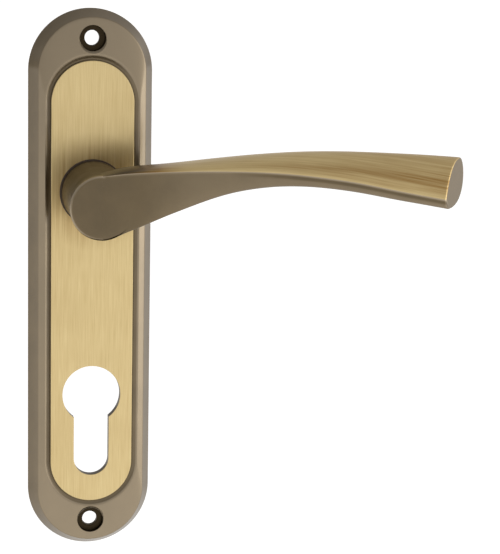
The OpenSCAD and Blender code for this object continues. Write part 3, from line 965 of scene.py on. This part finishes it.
def lever_wear_and_painted_light(sizes, x, depth, z):
    """Painted highlights along the face's round edge, along the crease and in a thin ring at the neck's
    foot;
    painted shade on the neck's side and a painted shadow line under the crease; and painted shading,
    darker near the neck and lighter towards the tip.
    """
    share = np.clip(x / sizes.reach, 0, 1)
    crease = np.array([blade_at(s)[1] for s in share]) * MM
    # Painted shading: darker near the neck, lighter along the blade towards the tip.
    wear_and_painted_light = 0.45 + 0.12 * rise(share, 0, 0.25) + 0.06 * share
    from_centre = np.hypot(x + sizes.shift, z)
    # Painted highlights: along the edge of the face's round end (ring) and along the crease (fold).
    ring = bell(from_centre - (sizes.neck / 2 - sizes.taper), 0.4 * MM) * (x < -sizes.shift)
    fold = bell(z - crease, 0.3 * MM) * (x >= -sizes.shift)
    # Painted shadow line just under the crease, on the outer half of the blade.
    under = bell(z - crease + 0.9 * MM, 0.5 * MM) * rise(share, 0.35, 0.55)
    wear_and_painted_light += (0.5 * np.maximum(ring, fold) - 0.22 * under) * (depth < 0.9 * MM)
    # Painted shade on the neck's side, fading out below the blade and darker towards the neck's top.
    neck = rise(depth, 0.9 * MM, 2.9 * MM) * (x < sizes.neck / 2 + 0.5 * MM)
    below = 1 - rise(x, -sizes.shift, 3 * MM - sizes.shift)
    neck *= np.where(z < 0, below, 1 + 0.2 * rise(z, 0, 6 * MM))
    # Painted highlight: a thin light ring at the neck's foot.
    foot_highlight = bell(sizes.face - depth + BUSH_LOW.y - 0.2 * MM, 0.12 * MM)
    return np.clip(wear_and_painted_light - 0.3 * neck + 0.6 * foot_highlight, 0, 1)


def lever_tone_and_crease_highlight(sizes, x, z):
    """How much of the dark tone the belt leaves: all of it at the neck, and a darker streak along the
    middle of the blade. Right at the crease the tone is taken out, as a painted highlight along the crease."""
    along = x / sizes.reach
    fade = rise(along, 0.26, 0.04)
    keys = np.array([blade_at(share) for share in np.clip(along, 0, 1)])
    place = (z / MM - keys[:, 1]) / (keys[:, 4] - keys[:, 1])
    streak = bell(place - 0.38, 0.2) * rise(along, 0.35, 0.65)
    # The bell at the crease takes the tone out there: a painted highlight along the crease.
    base = (0.12 + 0.12 * rise(along, 0.6, 1)) * (1 - bell(place, 0.07))
    return base + 0.24 * streak + 0.88 * fade * fade * (3 - 2 * fade) * (1 - 0.24 * streak)


class HANDLE_OT_lever(bpy.types.Operator):
    """Build the lever with its neck, journal and spindle socket"""

    bl_idname = "handle.lever"
    bl_label = "Lever"

    def execute(self, context):
        sizes, finishes = context.scene.handle_lever, context.scene.handle_finishes
        bronze, brass = toned_bronze(finishes), brushed_brass(finishes)
        lever = face_out(neck_and_journal(sizes))
        arm = face_out(blade(sizes))
        for item in (lever, arm):
            item.data.materials.append(bronze)
            item.data.materials.append(brass)
        cut(lever, arm, "UNION")
        lever.name = "lever_cast"
        w, end = sizes.socket / 2, sizes.socket_depth
        rings = [[(-w, -h, -w), (w, -h, -w), (w, -h, w), (-w, -h, w)] for h in (-MM, end)]
        cut(lever, face_out(solid_rings("socket", rings)))
        radius, end = sizes.grub / 2, -12 * MM
        drill = swept("drill", [(0, 0, end), (radius, 0, end), (radius, 0, 0), (0, 0, 0)], bronze, sides=48)
        drill.data.transform(Matrix.Rotation(math.radians(-90), 4, "X"))
        drill.data.transform(Matrix.Translation((0, -sizes.grub_height, 0)))
        cut(lever, face_out(drill))
        drop_slivers(lever, 0.002 * MM)
        x, y, z = points_of(lever.data)
        # This attribute carries painted highlights and painted shade as well as the rubbed wear.
        add_values(lever.data, "wear_and_painted_light", lever_wear_and_painted_light(sizes, x, y + sizes.face, z))
        # The tone attribute also carries the painted highlight along the crease.
        add_values(lever.data, "tone", lever_tone_and_crease_highlight(sizes, x, z))
        smooth(lever, 26)
        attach(lever, "handle")
        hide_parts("lever")
        return {"FINISHED"}


# ---------------------------------------------------------------- return spring


def stop_angle(sizes, side):
    """Where a stop post stands round the spindle: above the lug's travel (1) or below it (-1)."""
    turn = math.asin((LUG_HALF + POST_R + SEAT_GAP) / sizes.post)
    return math.radians(90 + side * TRAVEL / 2) + side * turn


def wire_tree():
    """A round wire along the input mesh's line of edges."""
    inputs = {"Path": "Geometry", "Wire Diameter": "Float", "Sides": "Int", "Finish": "Material"}
    tree, given = new_tree("wire", inputs)
    values = {"diameter": given["Wire Diameter"]}
    work_out(tree, values, [("radius", "MULTIPLY", "diameter", 0.5)])
    ring = {"Resolution": given["Sides"], "Radius": values["radius"]}
    ring = add_node(tree, "GeometryNodeCurvePrimitiveCircle", {"mode": "RADIUS"}, ring, "Curve")
    line = add_node(tree, "GeometryNodeMeshToCurve", inputs={"Mesh": given["Path"]}, output="Curve")
    tube = {"Curve": line, "Profile Curve": ring, "Fill Caps": True}
    tube = add_node(tree, "GeometryNodeCurveToMesh", inputs=tube, output="Mesh")
    return finish_tree(tree, tube, given["Finish"])


class HANDLE_OT_spring(bpy.types.Operator):
    """Build the torsion spring that brings the lever back to level"""

    bl_idname = "handle.spring"
    bl_label = "Return Spring"

    def execute(self, context):
        sizes = context.scene.handle_spring
        top = -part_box("return_spring")[0].y - sizes.wire / 2
        beside = sizes.wire / 2 + SEAT_GAP
        start = math.radians(270) + math.asin((POST_R + beside) / sizes.post)
        lug = math.radians(90 + TRAVEL / 2) - math.asin((LUG_HALF + beside) / (sizes.post + 1.3 * MM))
        turns = lug + 2 * math.tau - start
        foot, tail, bend = sizes.post + 0.5 * MM, sizes.post + 1.6 * MM, sizes.coil + sizes.wire
        path = [(foot, start, 0.0), (bend, start, 0.0)]
        path += [(sizes.coil, start + turns * k / 120, k / 120) for k in range(121)]
        path += [(bend, start + turns, 1.0), (tail, start + turns, 1.0)]
        fall = (sizes.wire + sizes.gap) * turns / math.tau
        verts = [(r * math.cos(a), -(top - fall * share), r * math.sin(a)) for r, a, share in path]
        spring = new_object("return_spring_wire", verts, [(i, i + 1) for i in range(len(verts) - 1)])
        values = {
            "Wire Diameter": sizes.wire,
            "Sides": sizes.sides,
            "Finish": spring_wire(context.scene.handle_finishes),
        }
        run_tree(spring, wire_tree(), values)
        face_out(spring)
        smooth(spring, 50)
        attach(spring, "plate")
        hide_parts("return_spring")
        return {"FINISHED"}


class HANDLE_OT_fittings(bpy.types.Operator):
    """Finish the bush, washer, stop plate, circlip and grub screw"""

    bl_idname = "handle.fittings"
    bl_label = "Bush and Fittings"

    def execute(self, context):
        finishes = context.scene.handle_finishes
        plated, black = zinc_plated_steel(finishes), black_oxide(finishes)
        chosen = {
            "neck_bush": moulded_nylon(finishes),
            "thrust_washer": plated,
            "stop_plate": plated,
            "circlip": black,
            "grub_screw": black,
        }
        for node, material in chosen.items():
            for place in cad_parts[node].material_slots:
                place.material = material
        return {"FINISHED"}


# ---------------------------------------------------------------- stage


def softbox(name, centre, target, width, height, watts):
    light = bpy.data.lights.new(name, "AREA")
    light.shape = "RECTANGLE"
    light.size, light.size_y = width, height
    light.energy = watts
    item = bpy.data.objects.new(name, light)
    item.location = centre
    item.rotation_euler = (Vector(target) - Vector(centre)).to_track_quat("-Z", "Y").to_euler()
    bpy.context.scene.collection.objects.link(item)
    return item


class HANDLE_OT_stage(bpy.types.Operator):
    """Set up the pale floor, the soft lights and the camera"""

    bl_idname = "handle.stage"
    bl_label = "Stage"

    def execute(self, context):
        scene = context.scene
        scene.view_settings.view_transform = "Standard"
        scene.view_settings.look = "None"
        material, tree = new_material("pale_floor")
        surface(
            tree,
            {
                "Base Color": (*linear("#f4f3f1"), 1.0),
                "Roughness": 0.9,
                "Emission Color": (*linear("#ffffff"), 1.0),
                "Emission Strength": 0.5,
            },
        )
        low, far = -0.26, 30.0
        corners = [(-far, -far, low), (far, -far, low), (far, far, low), (-far, far, low)]
        floor = new_object("floor", corners, faces=[(0, 1, 2, 3)])
        floor.data.materials.append(material)

        # The sky is brightest a little above the horizon, and brighter on the right than on the left.
        scene.world = scene.world or bpy.data.worlds.new("studio")
        scene.world.use_nodes = True
        tree = scene.world.node_tree
        tree.nodes.clear()
        where = add_node(tree, "ShaderNodeTexCoord", output="Generated")
        way = add_node(tree, "ShaderNodeSeparateXYZ", inputs={"Vector": where}).outputs
        fall = add_node(tree, "ShaderNodeValToRGB", inputs={"Fac": way["Z"]})
        ramp = fall.color_ramp
        for place, level in ((0.0, 0.7), (0.1, 0.86), (0.24, 1.1), (0.45, 0.8), (0.8, 0.78)):
            stop = ramp.elements[0] if place == 0 else ramp.elements.new(place)
            stop.position, stop.color = place, (level, level, level * 1.01, 1)
        ramp.elements.remove(ramp.elements[-1])
        side = between(way["X"], -1, 1, 0.52, 1.05)
        side = add_node(tree, "ShaderNodeMapRange", inputs=side, output="Result")
        sky = {"Color": fall.outputs["Color"], "Strength": side}
        sky = add_node(tree, "ShaderNodeBackground", inputs=sky, output="Background")
        add_node(tree, "ShaderNodeOutputWorld", inputs={"Surface": sky})

        middle = (0.03, -0.02, -0.02)
        softbox("softbox_right", (0.8, -0.28, -0.02), middle, 0.6, 0.9, 2.3)

        camera = bpy.data.cameras.new("camera")
        camera.lens, camera.sensor_width, camera.sensor_fit = 129.96, 36.0, "AUTO"
        camera.clip_start, camera.clip_end = 0.01, 100
        item = bpy.data.objects.new("camera", camera)
        right, up = Vector((0.9804, -0.1960, 0.0185)).normalized(), Vector((0.0142, 0.1643, 0.9863))
        back = right.cross(up).normalized()
        up = back.cross(right).normalized()
        turn = Matrix((right, up, back)).transposed().to_4x4()
        item.matrix_world = Matrix.Translation((-0.07167, -0.59890, 0.07386)) @ turn
        scene.collection.objects.link(item)
        scene.camera = item
        return {"FINISHED"}


# ---------------------------------------------------------------- panel and run


class HANDLE_PT_sidebar(bpy.types.Panel):
    """Lists the handle's sizes, finishes and pieces"""

    bl_idname = "HANDLE_PT_sidebar"
    bl_label = "Lever Handle"
    bl_space_type = "VIEW_3D"
    bl_region_type = "UI"
    bl_category = "Lever Handle"

    def draw(self, context):
        for title, group in SECTIONS:
            box = self.layout.box()
            box.label(text=title)
            values = getattr(context.scene, group)
            for name in values.__annotations__:
                box.prop(values, name)
        for operator in OPERATORS:
            self.layout.operator(operator.bl_idname)


SECTIONS = (
    ("Backplate", "handle_plate"),
    ("Lever", "handle_lever"),
    ("Return Spring", "handle_spring"),
    ("Finishes", "handle_finishes"),
)
GROUPS = (PlateSizes, LeverSizes, SpringSizes, Finishes)
OPERATORS = (
    HANDLE_OT_stage,
    HANDLE_OT_backplate,
    HANDLE_OT_lever,
    HANDLE_OT_spring,
    HANDLE_OT_fittings,
)


def register():
    for kind in (*GROUPS, *OPERATORS, HANDLE_PT_sidebar):
        bpy.utils.register_class(kind)
    for (_, name), group in zip(SECTIONS, GROUPS):
        setattr(bpy.types.Scene, name, PointerProperty(type=group))


def unregister():
    for _, name in SECTIONS:
        delattr(bpy.types.Scene, name)
    for kind in reversed((*GROUPS, *OPERATORS, HANDLE_PT_sidebar)):
        bpy.utils.unregister_class(kind)


def main():
    register()
    for operator in OPERATORS:
        group, name = operator.bl_idname.split(".")
        getattr(getattr(bpy.ops, group), name)()


if __name__ == "__main__":
    main()
